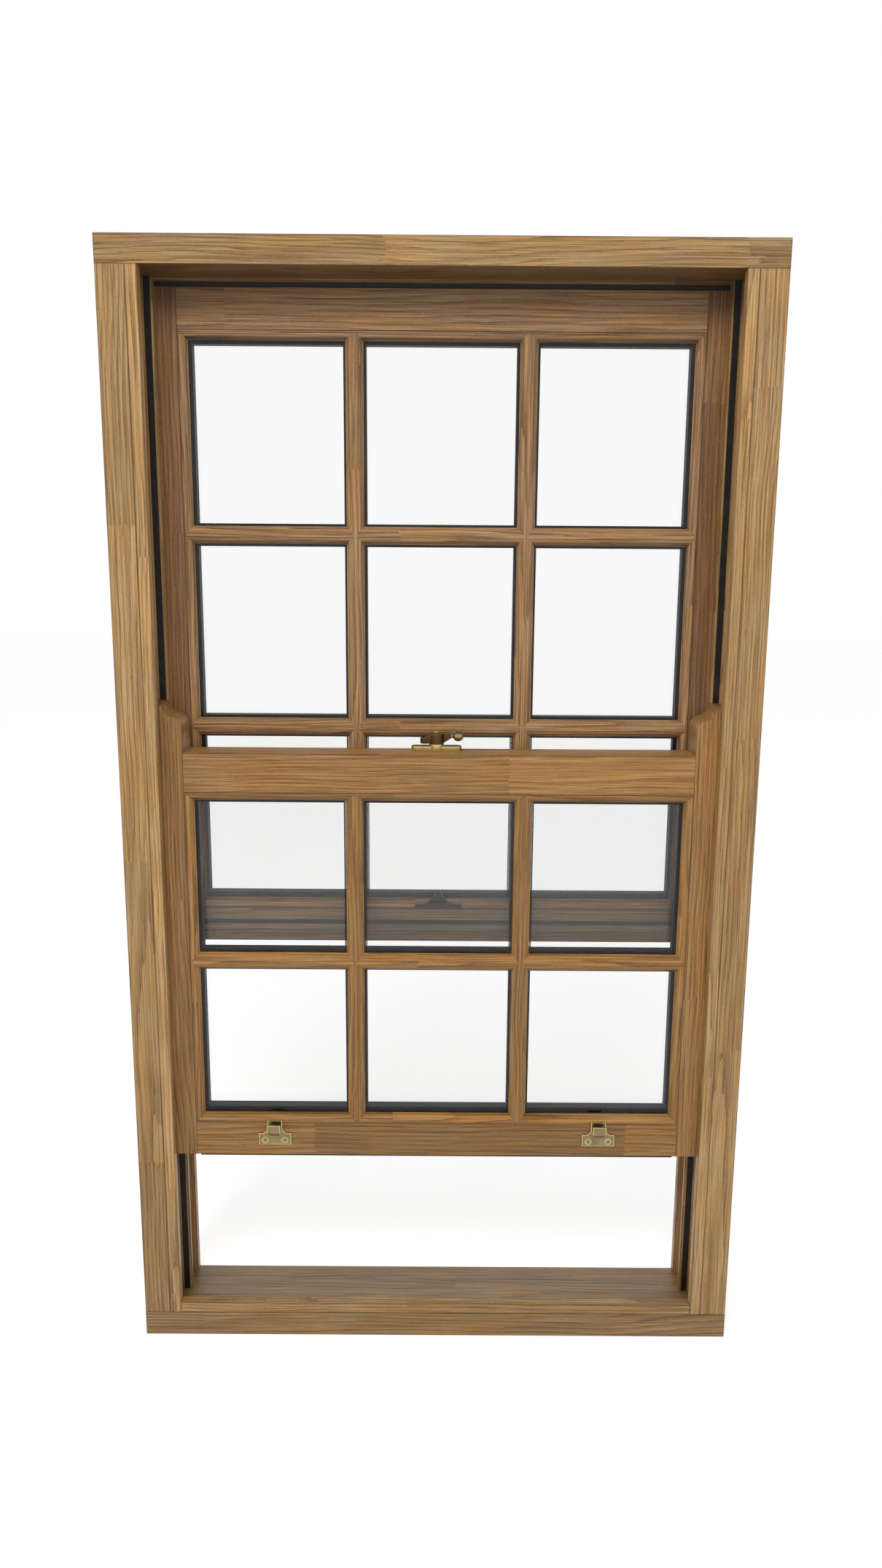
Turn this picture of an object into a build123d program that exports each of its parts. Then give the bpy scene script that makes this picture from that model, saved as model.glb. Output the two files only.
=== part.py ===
"""Oak double-hung sliding sash window with a cam-lever sash fastener.

Frame: X runs across the window, +Y runs outwards from the room, +Z is up.
The origin is the centre of the sill's underside. Both sashes are modelled where they
stand at rest: the upper sash closed, the lower sash raised by `lower_raise`.
"""
from build123d import *
import os
from math import radians, tan

os.makedirs("parts", exist_ok=True)

# ------------------------------------------------------------------ driving dimensions, mm
# Outer frame
frame_width = 900.0
frame_height = 1600.0
jamb_thickness = 39.0
head_thickness = 37.0
sill_thickness = 39.0
sill_fall_deg = 10.0
drip_setback = 16.0
drip_width = 6.0
drip_depth = 5.0
staff_bead = 16.0
parting_bead_thickness = 8.0
parting_bead_projection = 18.5
parting_bead_tongue = 8.0
lining_thickness = 16.0
lining_projection = 14.0
arris = 0.8

# Sashes
sash_thickness = 56.0
face_play = 1.0
side_play = 2.0
stile_width = 45.5
moulding_width = 12.0
moulding_depth = 12.5
bar_width = 25.0
upper_height = 934.5
upper_top_rail = 55.5
meeting_rail = 53.0
upper_rows = 3
lower_top_rail = 57.0
bottom_rail = 52.5
lower_rows = 2
columns = 3
lower_raise = 247.0
horn_height = 69.0
tenon_thickness = 18.0
tenon_length = 30.0
tenon_fit = 0.2

# Sealed glass units
glass_thickness = 4.0
cavity = 16.0
unit_edge_gap = 2.0
spacer_proud = 4.5
spacer_proud_bottom = 7.0
duplex_proud = 3.5

# Seals
head_seal_height = 6.0
head_seal_width = 30.0
seal_clearance = 0.5
sill_gap = 12.0
bottom_seal_round = 4.0
bottom_seal_width = 10.0
side_seal_width = 9.0
side_seal_depth = 2.0
brush_height = 5.5
brush_depth = 3.0

# Meeting rail lip, which closes the gap between the sashes
lip_gap = 3.0
lip_height = 33.5
brush_below_top = 17.5

# Spring balances, one in each channel of each jamb
balance_groove_width = 18.0
balance_groove_depth = 20.0
tube_diameter = 14.0
tube_bore = 11.0
tube_plug = 20.0
tube_top_gap = 23.0
tube_above_foot = 17.5
rod_diameter = 6.4
rod_engagement = 12.0
foot_thickness = 3.0
foot_width = 12.0
foot_let_in = 14.0
foot_height = 25.0
foot_cup_diameter = 12.0
foot_cup_height = 8.0

# Cam-lever fastener, on the lower sash's top rail, and its keeper
fastener_x = -4.0
fastener_length = 73.0
fastener_depth = 16.0
fastener_plate = 7.0
fastener_setback = 5.0
fastener_plate_round = 1.0
hub_diameter = 22.0
hub_height = 3.0
lever_clearance = 0.4
lever_thickness = 8.0
lever_reach = 21.5
lever_crown = 4.5
lever_tip_width = 7.0
nose_reach = 23.5
nose_width = 14.0
nose_lip = -18.5
pivot_diameter = 6.0
pivot_clearance = 0.08
rivet_diameter = 9.6
rivet_height = 1.6
knob_diameter = 16.5
knob_neck = 7.0
knob_stand = 1.5
knob_height = 21.5
keeper_length = 70.0
keeper_depth = 15.0
keeper_plate = 3.0
keeper_height = 28.0
keeper_boss = 12.0
keeper_body_depth = 9.5
keeper_slot_above = 8.9
keeper_slot_height = 11.0
keeper_slot_depth = 7.0

# Hook lifts on the bottom rail
lift_x = 245.0
lift_width = 48.5
lift_plate_height = 18.5
lift_plate = 2.5
lift_above_bottom = 17.5
lift_neck_width = 22.0
lift_neck_height = 20.5
lift_hook_width = 20.0
lift_hook_reach = 14.0
lift_hook_rise = 7.3
lift_hook_start = 16.5
lift_screw_spacing = 30.0

# Screws: shank diameter, head diameter, length
lift_screw = (3.5, 8.0, 20.0)
fastener_screw = (3.5, 7.0, 22.0)
keeper_screw = (3.5, 7.0, 18.0)
frame_screw = (5.0, 10.0, 90.0)
tube_screw = (4.0, 8.0, 26.0)
frame_screw_setback = 25.0
fastener_screw_inset = 9.0
keeper_screw_inset = 6.0
screw_fit = 0.15
head_sink = 0.3
screw_point = 0.6

# Fixing holes through the jambs
fixing_hole = 8.0
fixing_setback = 26.0
fixing_low = 200.0
fixing_high = 1400.0

# ------------------------------------------------------------------ derived places
sash_gap = parting_bead_thickness + 2 * face_play
frame_depth = staff_bead + 2 * face_play + 2 * sash_thickness + sash_gap + lining_thickness
front = -frame_depth / 2
back = frame_depth / 2
lower_front = front + staff_bead + face_play
lower_back = lower_front + sash_thickness
parting_front = lower_back + face_play
parting_back = parting_front + parting_bead_thickness
upper_front = parting_back + face_play
upper_back = upper_front + sash_thickness
lining_front = upper_back + face_play

channel = frame_width / 2 - jamb_thickness
sash_half = channel - side_play
flat_half = sash_half - stile_width
sight_half = flat_half - moulding_width
bead_edge = channel - staff_bead
parting_edge = channel - parting_bead_projection

soffit = frame_height - head_thickness
seal_soffit = soffit - (sash_gap - head_seal_height) - seal_clearance
upper_top = seal_soffit - head_seal_height - seal_clearance
upper_bottom = upper_top - upper_height
meeting_top = upper_bottom + meeting_rail
lower_closed_bottom = sill_thickness + sill_gap
lower_bottom = lower_closed_bottom + lower_raise
lower_top = meeting_top + lower_raise
tube_bottom = upper_bottom + foot_height + foot_cup_height + tube_above_foot
rod_length = tube_bottom + rod_engagement - (lower_closed_bottom + foot_height + foot_thickness)
pivot_y = lower_back - fastener_setback - hub_diameter / 2


def sill_surface(y):
    """Height of the sloping sill at depth y."""
    return sill_thickness - (y - front - staff_bead) * tan(radians(sill_fall_deg))


def slab(x, y, z, mode=Mode.ADD):
    """A block given by its low and high X, Y and Z."""
    middle = tuple((low + high) / 2 for low, high in (x, y, z))
    size = tuple(high - low for low, high in (x, y, z))
    with Locations(middle):
        Box(*size, mode=mode)


def keep(piece, name):
    """Label one finished piece and write it."""
    piece.label = name
    export_step(piece, f"parts/{name}.step")


def sides():
    """Name and X direction of the left and right of the window."""
    return (("left", -1), ("right", 1))


def span(side, inner, outer):
    """X range between two distances from the middle, on one side."""
    return sorted((side * inner, side * outer))


def ease(builder, axis, radius=arris):
    """Take the sharp arrises off a straight length of timber."""
    fillet(builder.edges().filter_by(axis), radius)


# ------------------------------------------------------------------ screws
def screw(shank, head, length):
    """Countersunk cross-head screw: head face at the origin, point down -Z."""
    cone = (head - shank) / 2
    with BuildPart() as body:
        with BuildSketch(Plane.XZ):
            with BuildLine():
                Polyline(
                    (0, 0),
                    (head / 2, 0),
                    (shank / 2, -cone),
                    (shank / 2, -length + shank),
                    (screw_point, -length),
                    (0, -length),
                    close=True,
                )
            make_face()
        revolve(axis=Axis.Z)
        for turn in (0, 90):
            with Locations(Location((0, 0, -head * 0.1), (0, 0, turn))):
                Box(head * 0.6, head * 0.14, head * 0.2, mode=Mode.SUBTRACT)
    return body.part


def screw_hole(shank, head, length):
    """The hole that such a screw leaves: its countersink, open above the sunken head, and its shank."""
    cone = (head - shank) / 2
    radius = shank / 2 + screw_fit
    with BuildPart() as hole:
        Cylinder(radius, length + screw_fit, align=(Align.CENTER, Align.CENTER, Align.MAX))
        Cone(
            radius,
            head / 2 + screw_fit,
            cone,
            align=(Align.CENTER, Align.CENTER, Align.MAX),
        )
        Cylinder(
            head / 2 + screw_fit,
            2 * head_sink,
            align=(Align.CENTER, Align.CENTER, Align.MIN),
        )
    return hole.part


def drill(places, size):
    """Cut one screw hole at each place in the current part."""
    hole = screw_hole(*size)
    for place in places:
        with Locations(place):
            add(hole, mode=Mode.SUBTRACT)


def drive(places, size, name):
    """Write one node that holds a screw at each place."""
    one = screw(*size)
    with BuildPart() as group:
        for place in places:
            with Locations(place):
                add(one)
    keep(group.part, name)


frame_screw_places = []
for _, side in sides():
    x = side * (channel + jamb_thickness * 0.7)
    for y in (front + frame_screw_setback, back - frame_screw_setback):
        frame_screw_places.append(Location((x, y, frame_height - head_sink)))
        frame_screw_places.append(Location((x, y, head_sink), (180, 0, 0)))

tube_screw_places = {}
groove_y = {
    "lower": (lower_front + lower_back) / 2,
    "upper": (upper_front + upper_back) / 2,
}
tube_x = channel + balance_groove_depth / 2
tube_top = soffit - tube_top_gap
for sash, y in groove_y.items():
    tube_screw_places[sash] = [
        Location((side * (tube_x - tube_diameter / 2), y, tube_top - tube_plug / 2),
                 (0, -side * 90, 0))
        for _, side in sides()
    ]

# ------------------------------------------------------------------ outer frame
with BuildPart() as head:
    half = frame_width / 2
    slab((-half, half), (front, back), (soffit, frame_height))
    ease(head, Axis.X)
    slab((-channel, channel), (parting_back, back), (seal_soffit, soffit))
    drill(frame_screw_places, frame_screw)
keep(head.part, "head")

with BuildPart() as head_seal:
    half = channel - face_play
    seal_y = upper_front + face_play
    slab((-half, half), (seal_y, seal_y + head_seal_width), (seal_soffit - head_seal_height, seal_soffit))
keep(head_seal.part, "head_seal")

for name, side in sides():
    with BuildPart() as jamb:
        slab(span(side, channel, frame_width / 2), (front, back), (sill_thickness, soffit))
        ease(jamb, Axis.Z)
        for y in groove_y.values():
            width = balance_groove_width / 2
            slab(
                span(side, channel, channel + balance_groove_depth),
                (y - width, y + width),
                (sill_thickness, soffit),
                Mode.SUBTRACT,
            )
        slab(
            span(side, channel, channel + parting_bead_tongue),
            (parting_front, parting_back),
            (sill_thickness, soffit),
            Mode.SUBTRACT,
        )
        for y in (front + fixing_setback, back - fixing_setback):
            for z in (fixing_low, fixing_high):
                with Locations(Location((side * frame_width / 2, y, z), (0, 90, 0))):
                    Hole(fixing_hole / 2, jamb_thickness + 1)
        drill(frame_screw_places, frame_screw)
        for places in tube_screw_places.values():
            drill(places, tube_screw)
    keep(jamb.part, f"jamb_{name}")

with BuildPart() as sill:
    half = frame_width / 2
    slab((-half, half), (front, back), (0, sill_thickness))
    ease(sill, Axis.X)
    with BuildSketch(Plane.YZ.offset(-channel)):
        with BuildLine():
            Polyline(
                (front + staff_bead, sill_thickness),
                (back + 1, sill_surface(back + 1)),
                (back + 1, sill_thickness + 1),
                (front + staff_bead, sill_thickness + 1),
                close=True,
            )
        make_face()
    extrude(amount=2 * channel, mode=Mode.SUBTRACT)
    drip_back = back - drip_setback
    slab((-half, half), (drip_back - drip_width, drip_back), (0, drip_depth), Mode.SUBTRACT)
    drill(frame_screw_places, frame_screw)
keep(sill.part, "sill")

for name, side in sides():
    with BuildPart() as staff:
        slab(span(side, bead_edge, channel), (front, front + staff_bead), (sill_thickness, soffit))
        ease(staff, Axis.Z)
    keep(staff.part, f"staff_bead_{name}")

with BuildPart() as bottom_bead:
    slab(
        (-bead_edge, bead_edge),
        (front, front + staff_bead),
        (sill_thickness, sill_thickness + staff_bead),
    )
    ease(bottom_bead, Axis.X)
keep(bottom_bead.part, "staff_bead_bottom")


def upright_on_sill(x, y, top):
    """A vertical stop of rectangular section, cut to the slope of the sill."""
    with BuildPart() as stop:
        with BuildSketch(Plane.YZ.offset(x[0])):
            with BuildLine():
                Polyline(
                    (y[0], sill_surface(y[0])),
                    (y[1], sill_surface(y[1])),
                    (y[1], top),
                    (y[0], top),
                    close=True,
                )
            make_face()
        extrude(amount=x[1] - x[0])
    return stop.part


seal_inner = parting_edge + (parting_bead_projection - side_seal_width) * 0.42
seal_span_x = (seal_inner, seal_inner + side_seal_width)
for name, side in sides():
    parting_stop = upright_on_sill(
        span(side, parting_edge, channel + parting_bead_tongue),
        (parting_front, parting_back),
        soffit,
    )
    with BuildPart() as parting:
        add(parting_stop)
        slab(
            span(side, channel, channel + parting_bead_tongue),
            (parting_front, parting_back),
            (0, sill_thickness),
            Mode.SUBTRACT,
        )
        slab(
            span(side, *seal_span_x),
            (parting_front, parting_front + side_seal_depth),
            (0, soffit),
            Mode.SUBTRACT,
        )
    keep(parting.part, f"parting_bead_{name}")

    lining_stop = upright_on_sill(
        span(side, channel - lining_projection, channel),
        (lining_front, back),
        seal_soffit - lining_projection,
    )
    with BuildPart() as lining:
        add(lining_stop)
        ease(lining, Axis.Z)
    keep(lining.part, f"outer_lining_{name}")

with BuildPart() as lining_head:
    slab(
        (-channel, channel),
        (lining_front, back),
        (seal_soffit - lining_projection, seal_soffit),
    )
    ease(lining_head, Axis.X)
keep(lining_head.part, "outer_lining_head")

seal_strips = [
    upright_on_sill(
        span(side, *seal_span_x),
        (parting_front - seal_clearance, parting_front + side_seal_depth),
        soffit,
    )
    for _, side in sides()
]
with BuildPart() as side_seals:
    add(seal_strips)
keep(side_seals.part, "parting_bead_seals")

drive(frame_screw_places, frame_screw, "frame_screws")


# ------------------------------------------------------------------ spring balances
def balance_tubes(sash):
    """A plugged tube on each side, hung in the jamb's groove."""
    y = groove_y[sash]
    length = tube_top - tube_bottom
    with BuildPart() as tubes:
        for _, side in sides():
            with Locations((side * tube_x, y, tube_bottom)):
                Cylinder(
                    tube_diameter / 2, length, align=(Align.CENTER, Align.CENTER, Align.MIN)
                )
                Cylinder(
                    tube_bore / 2,
                    length - tube_plug,
                    align=(Align.CENTER, Align.CENTER, Align.MIN),
                    mode=Mode.SUBTRACT,
                )
        drill(tube_screw_places[sash], tube_screw)
    keep(tubes.part, f"{sash}_balance_tubes")


def balance_feet(sash, bottom):
    """The cup and tongue that carry each rod, let into the edge of the stile."""
    y = groove_y[sash]
    half = foot_width / 2
    with BuildPart() as feet:
        for _, side in sides():
            slab(
                span(side, sash_half - foot_let_in, tube_x),
                (y - half, y + half),
                (bottom + foot_height, bottom + foot_height + foot_thickness),
            )
            with Locations((side * tube_x, y, bottom + foot_height)):
                Cylinder(
                    foot_cup_diameter / 2,
                    foot_cup_height,
                    align=(Align.CENTER, Align.CENTER, Align.MIN),
                )
            with Locations((side * tube_x, y, bottom + foot_height + foot_thickness)):
                Cylinder(
                    rod_diameter / 2,
                    foot_cup_height,
                    align=(Align.CENTER, Align.CENTER, Align.MIN),
                    mode=Mode.SUBTRACT,
                )
    keep(feet.part, f"{sash}_balance_feet")
    with BuildPart() as rods:
        for _, side in sides():
            with Locations((side * tube_x, y, bottom + foot_height + foot_thickness)):
                Cylinder(
                    rod_diameter / 2 - screw_fit,
                    rod_length,
                    align=(Align.CENTER, Align.CENTER, Align.MIN),
                )
    keep(rods.part, f"{sash}_balance_rods")


for sash, bottom in (("lower", lower_bottom), ("upper", upper_bottom)):
    balance_tubes(sash)
    balance_feet(sash, bottom)
drive(tube_screw_places["lower"] + tube_screw_places["upper"], tube_screw, "tube_screws")


# ------------------------------------------------------------------ sash timber
def mortise(side, y, z):
    """The pocket in a stile for one rail's tenon."""
    half = tenon_thickness / 2 + tenon_fit / 2
    slab(
        span(side, flat_half, flat_half + tenon_length + tenon_fit),
        (y - half, y + half),
        (z[0] - tenon_fit / 2, z[1] + tenon_fit / 2),
        Mode.SUBTRACT,
    )


def foot_pocket(side, sash, bottom):
    """The slot in a stile's edge for the balance foot."""
    half = foot_width / 2
    y = groove_y[sash]
    slab(
        span(side, sash_half - foot_let_in, sash_half),
        (y - half, y + half),
        (bottom + foot_height, bottom + foot_height + foot_thickness),
        Mode.SUBTRACT,
    )


def tenon_span(rail_bottom, rail_top):
    """Height of a tenon, a shoulder in from each edge of its rail."""
    shoulder = (rail_top - rail_bottom) * 0.15
    return (rail_bottom + shoulder, rail_top - shoulder)


def rail(x_half, y_face, y_back, z):
    """A rail with a tenon on each end, its shoulders against the stiles."""
    middle = (y_face + y_back) / 2
    half = tenon_thickness / 2
    slab((-x_half, x_half), (y_face, y_back), z)
    return (
        (-x_half - tenon_length, x_half + tenon_length),
        (middle - half, middle + half),
        tenon_span(*z),
    )


bevel_drop = sash_thickness * tan(radians(sill_fall_deg))
with BuildPart() as sash_bevel:
    with BuildSketch(Plane.YZ.offset(-sash_half)):
        with BuildLine():
            Polyline(
                (lower_front, lower_bottom),
                (lower_back, lower_bottom - bevel_drop),
                (lower_back, lower_bottom - 2 * bevel_drop),
                (lower_front, lower_bottom - 2 * bevel_drop),
                close=True,
            )
        make_face()
    extrude(amount=2 * sash_half)
upper_rails = {
    "top": (upper_top - upper_top_rail, upper_top),
    "meeting": (upper_bottom, meeting_top),
}
lower_rails = {
    "top": (lower_top - lower_top_rail, lower_top),
    "bottom": (lower_bottom, lower_bottom + bottom_rail),
}

# Horn: straight, then a convex quarter, a small step, and a hollow up to the tip
horn_round = 18.5
horn_hollow = 8.0
horn_straight = horn_height - horn_round - 2 * horn_hollow
for name, side in sides():
    with BuildPart() as stile:
        with BuildSketch(Plane.XZ.offset(-lower_front)):
            with BuildLine():
                inner = flat_half
                step_x = inner + horn_round
                step_z = lower_top + horn_straight + horn_round
                tip_x = step_x + horn_hollow
                tip_z = step_z + 2 * horn_hollow
                Polyline(
                    (side * tip_x, tip_z),
                    (side * sash_half, tip_z),
                    (side * sash_half, lower_bottom - bevel_drop),
                    (side * inner, lower_bottom - bevel_drop),
                    (side * inner, lower_top + horn_straight),
                )
                RadiusArc(
                    (side * inner, lower_top + horn_straight),
                    (side * step_x, step_z),
                    side * horn_round,
                )
                RadiusArc(
                    (side * step_x, step_z),
                    (side * tip_x, tip_z),
                    -side * 2.2 * horn_hollow,
                )
            make_face()
        extrude(amount=-sash_thickness)
        add(sash_bevel.part, mode=Mode.SUBTRACT)
        ease(stile, Axis.Z)
        middle = (lower_front + lower_back) / 2
        for z in lower_rails.values():
            mortise(side, middle, tenon_span(*z))
        foot_pocket(side, "lower", lower_bottom)
    keep(stile.part, f"lower_stile_{name}")

    with BuildPart() as stile:
        slab(span(side, flat_half, sash_half), (upper_front, upper_back), (upper_bottom, upper_top))
        ease(stile, Axis.Z)
        middle = (upper_front + upper_back) / 2
        for z in upper_rails.values():
            mortise(side, middle, tenon_span(*z))
        foot_pocket(side, "upper", upper_bottom)
    keep(stile.part, f"upper_stile_{name}")

fastener_screw_places = [
    Location((fastener_x + end * (fastener_length / 2 - fastener_screw_inset), pivot_y,
              lower_top + fastener_plate - head_sink))
    for end in (-1, 1)
]
with BuildPart() as lower_top_piece:
    tenons = rail(flat_half, lower_front, lower_back, lower_rails["top"])
    ease(lower_top_piece, Axis.X)
    slab(*tenons)
    drill(fastener_screw_places, fastener_screw)
keep(lower_top_piece.part, "lower_top_rail")

lift_z = lower_bottom + lift_above_bottom
lift_screw_places = [
    Location(
        (centre + end * lift_screw_spacing / 2, lower_front - lift_plate + head_sink,
         lift_z + lift_plate_height * 0.4),
        (90, 0, 0),
    )
    for centre in (-lift_x, lift_x)
    for end in (-1, 1)
]
with BuildPart() as bottom_piece:
    low, high = lower_rails["bottom"]
    tenons = rail(flat_half, lower_front, lower_back, (low - bevel_drop, high))
    add(sash_bevel.part, mode=Mode.SUBTRACT)
    ease(bottom_piece, Axis.X)
    slab(tenons[0], tenons[1], tenon_span(low, high))
    drill(lift_screw_places, lift_screw)
keep(bottom_piece.part, "lower_bottom_rail")

with BuildPart() as upper_top_piece:
    tenons = rail(flat_half, upper_front, upper_back, upper_rails["top"])
    ease(upper_top_piece, Axis.X)
    slab(*tenons)
keep(upper_top_piece.part, "upper_top_rail")

lip_front = lower_back + lip_gap
lip_half = parting_edge - side_play
brush_z = (meeting_top - brush_below_top - brush_height, meeting_top - brush_below_top)
keeper_y = (lip_front + seal_clearance, lip_front + seal_clearance + keeper_depth)
keeper_screw_places = [
    Location((end * (keeper_length / 2 - keeper_screw_inset), sum(keeper_y) / 2,
              meeting_top + keeper_plate - head_sink))
    for end in (-1, 1)
]
with BuildPart() as meeting_piece:
    tenons = rail(flat_half, upper_front, upper_back, upper_rails["meeting"])
    slab((-flat_half, flat_half), (lip_front, upper_front), (meeting_top - lip_height, meeting_top))
    ease(meeting_piece, Axis.X)
    slab(*tenons)
    for _, side in sides():
        slab(
            span(side, flat_half, lip_half),
            (lip_front, upper_front - seal_clearance),
            (meeting_top - lip_height, meeting_top),
        )
    slab((-lip_half, lip_half), (lip_front, lip_front + brush_depth), brush_z, Mode.SUBTRACT)
    drill(keeper_screw_places, keeper_screw)
keep(meeting_piece.part, "meeting_rail")

with BuildPart() as brush:
    slab((-lip_half, lip_half), (lower_back + seal_clearance, lip_front + brush_depth), brush_z)
keep(brush.part, "meeting_rail_brush")

with BuildPart() as bottom_seal:
    middle = (lower_front + lower_back) / 2
    y = (middle - bottom_seal_width / 2, middle + bottom_seal_width / 2)
    slope = tan(radians(sill_fall_deg))
    sill_clear = lower_bottom - sill_gap + seal_clearance
    with BuildSketch(Plane.YZ.offset(-flat_half)):
        with BuildLine():
            Polyline(
                (y[0], lower_bottom - (y[0] - lower_front) * slope),
                (y[1], lower_bottom - (y[1] - lower_front) * slope),
                (y[1], sill_clear - (y[1] - lower_front) * slope),
                (y[0], sill_clear - (y[0] - lower_front) * slope),
                close=True,
            )
        make_face()
    extrude(amount=2 * flat_half)
    fillet(bottom_seal.edges().filter_by(Axis.X).group_by(Axis.Z)[:2], bottom_seal_round)
keep(bottom_seal.part, "bottom_seal")


# ------------------------------------------------------------------ glazing mouldings
mitre_gap = 0.1
moulding_lip = 2.0
moulding_quirk = 1.2
moulding_foot = 2.5
moulding_ledge = 1.5
bar_land = bar_width / 2 - moulding_width + moulding_lip


def moulded_edge(lip):
    """Quirk, ovolo and foot, from the front face down to the glass, in (depth, height)."""
    ledge = lip + moulding_width - moulding_lip - moulding_ledge
    foot = moulding_depth - moulding_foot
    Line((0, -lip), (moulding_quirk, -lip))
    TangentArc((moulding_quirk, -lip), (foot, -ledge), tangent=(0, -1))
    Polyline(
        (foot, -ledge),
        (foot, -ledge - moulding_ledge),
        (moulding_depth, -ledge - moulding_ledge),
    )


def bevelled_edge(lip, depth):
    """Weathered outer edge: a plain splay from the lip down to the glass."""
    Polyline((0, -lip), (depth - moulding_foot, -lip - moulding_width + moulding_lip),
             (depth, -lip - moulding_width + moulding_lip))


def bead_stick(run, depth, outer):
    """A mitred length: joint edge along the X axis, body below it, face at Y = 0."""
    with BuildPart() as stick:
        with BuildSketch(Plane.YZ.offset(-run / 2)):
            with BuildLine():
                if outer:
                    bevelled_edge(moulding_lip, depth)
                else:
                    moulded_edge(moulding_lip)
                Polyline((depth, -moulding_width), (depth, 0), (0, 0), (0, -moulding_lip))
            make_face()
        extrude(amount=run)
        with BuildSketch(Plane.XZ.offset(1)):
            with BuildLine():
                half = run / 2 - mitre_gap
                Polyline(
                    (-half, 0),
                    (half, 0),
                    (half - moulding_width, -moulding_width),
                    (-half + moulding_width, -moulding_width),
                    close=True,
                )
            make_face()
        extrude(amount=-depth - 2, mode=Mode.INTERSECT)
    return stick.part


def bar_stick(run, depth, outer):
    """A glazing bar: both edges moulded, centred on the X axis, face at Y = 0."""
    with BuildPart() as stick:
        with BuildSketch(Plane.YZ.offset(-run / 2)):
            with BuildLine():
                if outer:
                    bevelled_edge(bar_land, depth)
                else:
                    moulded_edge(bar_land)
                Line((0, -bar_land), (0, 0))
                Line((depth, -bar_width / 2), (depth, 0))
                mirror(about=Plane.XZ)
            make_face()
        extrude(amount=run)
    return stick.part


def glazing(sash, face, y_back, z_low, z_high, rows, notched):
    """Beads, bars, sealed unit and spacers that fill one sash."""
    width = 2 * flat_half
    height = z_high - z_low
    centre_z = (z_low + z_high) / 2
    pane_width = (2 * sight_half - (columns - 1) * bar_width) / columns
    pane_height = (height - 2 * moulding_width - (rows - 1) * bar_width) / rows
    bar_x = [
        -sight_half + (i + 1) * pane_width + (i + 0.5) * bar_width for i in range(columns - 1)
    ]
    bar_z = [
        z_low + moulding_width + (i + 1) * pane_height + (i + 0.5) * bar_width
        for i in range(rows - 1)
    ]
    glass_face = face + moulding_depth
    unit_back = glass_face + 2 * glass_thickness + cavity
    for skin, outer in (("inner", False), ("outer", True)):
        depth = y_back - unit_back if outer else moulding_depth
        start = y_back if outer else face
        flip = 180 if outer else 0
        long_side = bead_stick(width, depth, outer)
        short_side = bead_stick(height, depth, outer)
        with BuildPart() as beads:
            for stick, x, z, turn in (
                (long_side, 0, z_high, 0),
                (long_side, 0, z_low, 180),
                (short_side, -flat_half, centre_z, -90),
                (short_side, flat_half, centre_z, 90),
            ):
                with Locations(Location((x, start, z), (0, turn, 0)) * Location((0, 0, 0), (0, 0, flip))):
                    add(stick)
        upright = bar_stick(height, depth, outer)
        with BuildPart() as uprights:
            for x in bar_x:
                with Locations(
                    Location((x, start, centre_z), (0, 90, 0)) * Location((0, 0, 0), (0, 0, flip))
                ):
                    add(upright)
            add(beads.part, mode=Mode.SUBTRACT)
        bays = zip([moulding_lip / 2 - flat_half] + [x + bar_land / 2 for x in bar_x],
                   [x - bar_land / 2 for x in bar_x] + [flat_half - moulding_lip / 2])
        short_bars = [((x0 + x1) / 2, bar_stick(x1 - x0, depth, outer)) for x0, x1 in bays]
        with BuildPart() as crossings:
            for z in bar_z:
                for x, stick in short_bars:
                    with Locations(Location((x, start, z), (0, 0, flip))):
                        add(stick)
            add(beads.part, mode=Mode.SUBTRACT)
            add(uprights.part, mode=Mode.SUBTRACT)
        if notched and not outer:
            with BuildPart() as beads_cut:
                add(beads.part)
                half = keeper_length / 2 + seal_clearance
                slab(
                    (-half, half),
                    (face - 1, keeper_y[1] + seal_clearance),
                    (z_low - 1, z_low + moulding_width + 1),
                    Mode.SUBTRACT,
                )
            beads = beads_cut
        keep(beads.part, f"{sash}_{skin}_beads")
        keep(uprights.part, f"{sash}_{skin}_upright_bars")
        keep(crossings.part, f"{sash}_{skin}_cross_bars")

    unit_x = flat_half - unit_edge_gap
    unit_z = (z_low + unit_edge_gap, z_high - unit_edge_gap)
    inner_back = glass_face + glass_thickness
    outer_front = unit_back - glass_thickness
    for skin, y in (("inner", (glass_face, inner_back)), ("outer", (outer_front, unit_back))):
        with BuildPart() as pane:
            slab((-unit_x, unit_x), y, unit_z)
        keep(pane.part, f"{sash}_{skin}_glass")
    with BuildPart() as spacer:
        slab((-unit_x, unit_x), (inner_back, outer_front), unit_z)
        x_edges = [-sight_half + spacer_proud]
        for x in bar_x:
            x_edges += [x - bar_width / 2 - duplex_proud, x + bar_width / 2 + duplex_proud]
        x_edges.append(sight_half - spacer_proud)
        z_edges = [z_low + moulding_width + spacer_proud_bottom]
        for z in bar_z:
            z_edges += [z - bar_width / 2 - duplex_proud, z + bar_width / 2 + duplex_proud]
        z_edges.append(z_high - moulding_width - spacer_proud)
        for x in zip(x_edges[::2], x_edges[1::2]):
            for z in zip(z_edges[::2], z_edges[1::2]):
                slab(x, (inner_back, outer_front), z, Mode.SUBTRACT)
    keep(spacer.part, f"{sash}_spacer_grid")


glazing(
    "lower", lower_front, lower_back, lower_rails["bottom"][1], lower_rails["top"][0], lower_rows, False
)
glazing(
    "upper", upper_front, upper_back, upper_rails["meeting"][1], upper_rails["top"][0], upper_rows, True
)


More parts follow.
